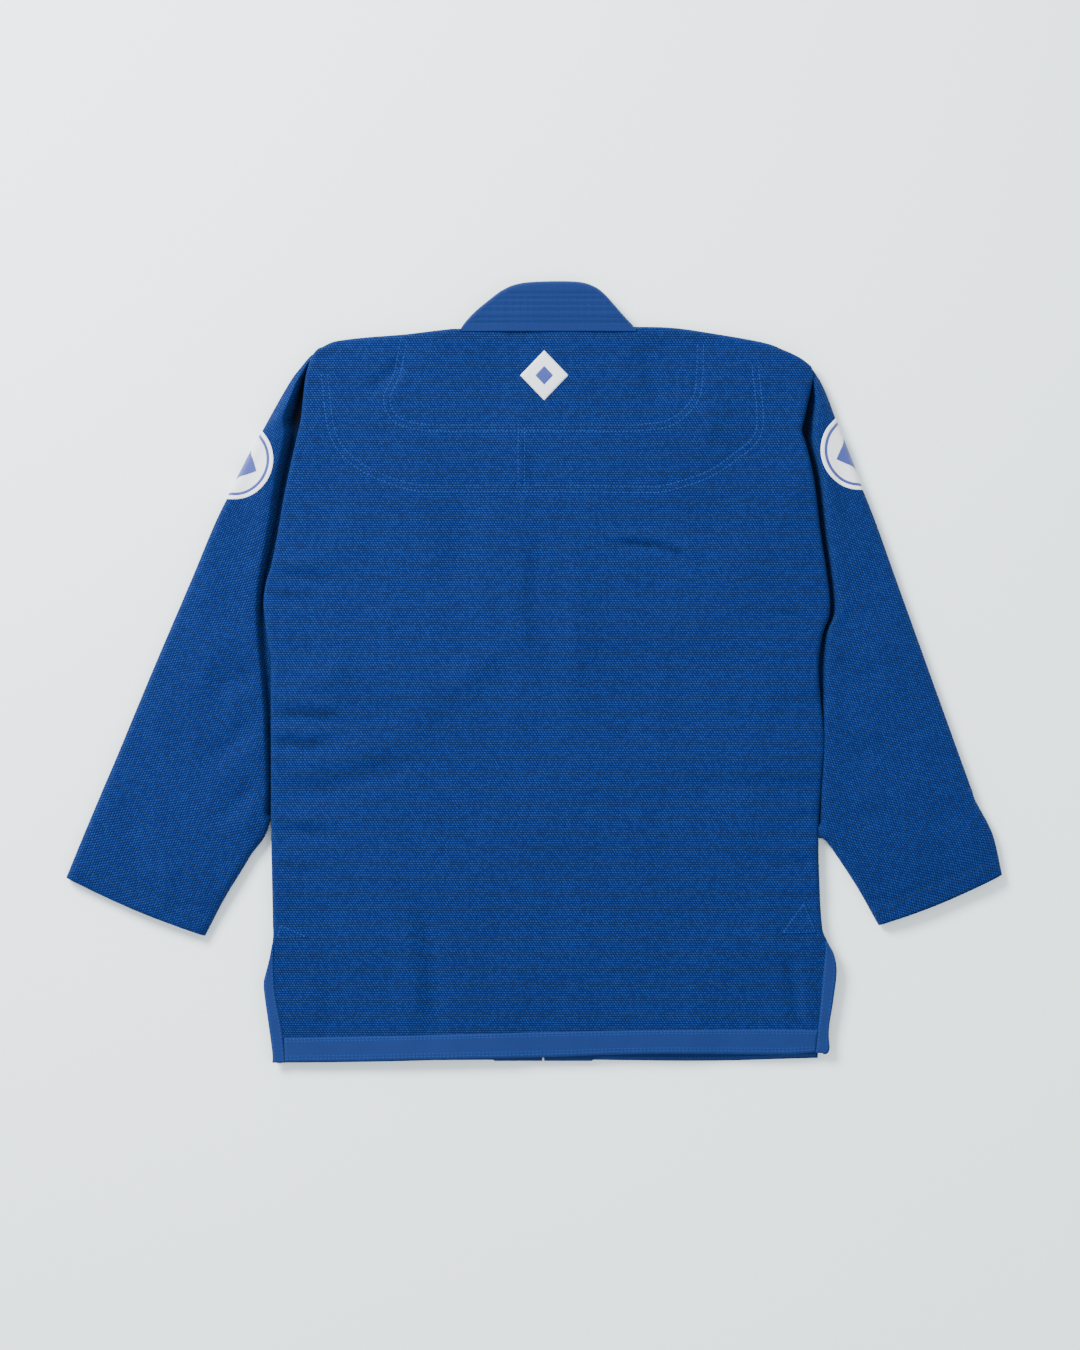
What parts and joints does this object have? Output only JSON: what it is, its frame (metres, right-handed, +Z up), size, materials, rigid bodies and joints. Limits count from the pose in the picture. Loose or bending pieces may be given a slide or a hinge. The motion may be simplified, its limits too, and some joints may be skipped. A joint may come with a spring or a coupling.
{
  "type": "martial arts uniform jacket",
  "caption": "Blue woven martial arts jacket with padded collar band, tucked wide sleeves and vented skirt, lying face down and folding at sleeves, cuffs, collar, fronts and skirt.",
  "frame": {"origin": "on the table plane, on the centre-back line, midway between the collar's top edge and the hem", "axes": "+X to the wearer's right sleeve, +Y to the collar, +Z up from the table, through the back of the jacket"},
  "size_m": [0.977, 0.8115, 0.0184],
  "materials": {
    "weave": "matt pearl-weave cotton, dyed blue",
    "twill": "matt twill cotton, dyed blue",
    "patch": "white embroidery with a slight sheen",
    "padding": "dense cotton and rubber filling"
  },
  "bodies": {
    "torso": {"back_panel": "weave", "yoke_lining": "twill", "neck_tape": "twill", "nape_emblem": "patch", "left_vent_patch": "weave", "right_vent_patch": "weave", "left_front_side": "weave", "right_front_side": "weave", "left_side_seam": "weave", "right_side_seam": "weave", "left_shoulder_seam": "weave", "right_shoulder_seam": "weave"},
    "back_skirt": {"back_panel_tail": "weave", "back_hem_tape": "twill", "back_left_vent_tape": "twill", "back_right_vent_tape": "twill"},
    "collar": {"collar_cover": "twill", "collar_core": "padding"},
    "left_front": {"left_front_panel": "weave", "left_lapel": "twill", "left_lapel_core": "padding", "left_front_hem_tape": "twill", "left_front_vent_tape": "twill", "left_lapel_end_patch": "weave"},
    "left_sleeve": {"left_sleeve_back": "weave", "left_sleeve_front": "weave", "left_sleeve_fold": "weave", "left_underarm_seam": "weave", "left_sleeve_head_back": "weave", "left_sleeve_head_front": "weave", "left_sleeve_patch": "patch"},
    "left_cuff": {"left_cuff_back": "weave", "left_cuff_front": "weave", "left_cuff_fold": "weave", "left_cuff_seam": "weave", "left_cuff_hem_tape": "twill"},
    "right_front": {"right_front_panel": "weave", "right_lapel": "twill", "right_lapel_core": "padding", "right_front_hem_tape": "twill", "right_front_vent_tape": "twill", "right_lapel_end_patch": "weave"},
    "right_sleeve": {"right_sleeve_back": "weave", "right_sleeve_front": "weave", "right_sleeve_fold": "weave", "right_underarm_seam": "weave", "right_sleeve_head_back": "weave", "right_sleeve_head_front": "weave", "right_sleeve_patch": "patch"},
    "right_cuff": {"right_cuff_back": "weave", "right_cuff_front": "weave", "right_cuff_fold": "weave", "right_cuff_seam": "weave", "right_cuff_hem_tape": "twill"}
  },
  "joints": [
    {"name": "left_sleeve_swing", "type": "hinge", "parent": "torso", "child": "left_sleeve", "pos_m": [-0.235, 0.34, 0.007], "axis": [0, 0, -1], "range_deg": [0, 22]},
    {"name": "left_cuff_turn", "type": "hinge", "parent": "left_sleeve", "child": "left_cuff", "pos_m": [-0.39271, -0.15133, 0.018], "axis": [-0.9217, 0.3879, 0], "range_deg": [0, 150]},
    {"name": "right_sleeve_swing", "type": "hinge", "parent": "torso", "child": "right_sleeve", "pos_m": [0.255, 0.328, 0.007], "axis": [0, 0, 1], "range_deg": [0, 22]},
    {"name": "right_cuff_turn", "type": "hinge", "parent": "right_sleeve", "child": "right_cuff", "pos_m": [0.37467, -0.14239, 0.018], "axis": [-0.941, -0.3383, 0], "range_deg": [0, 150]},
    {"name": "back_skirt_lift", "type": "hinge", "parent": "torso", "child": "back_skirt", "pos_m": [0, -0.283, 0.018], "axis": [-1, 0, 0], "range_deg": [0, 110]},
    {"name": "collar_lift", "type": "hinge", "parent": "torso", "child": "collar", "pos_m": [0, 0.358, 0.018], "axis": [1, 0, 0], "range_deg": [0, 90]},
    {"name": "left_front_open", "type": "hinge", "parent": "torso", "child": "left_front", "pos_m": [-0.092, 0.358, 0], "axis": [0.2843, 0.9587, 0], "range_deg": [0, 120]},
    {"name": "right_front_open", "type": "hinge", "parent": "torso", "child": "right_front", "pos_m": [0.09, 0.358, 0], "axis": [0.2873, -0.9578, 0], "range_deg": [0, 120]}
  ]
}
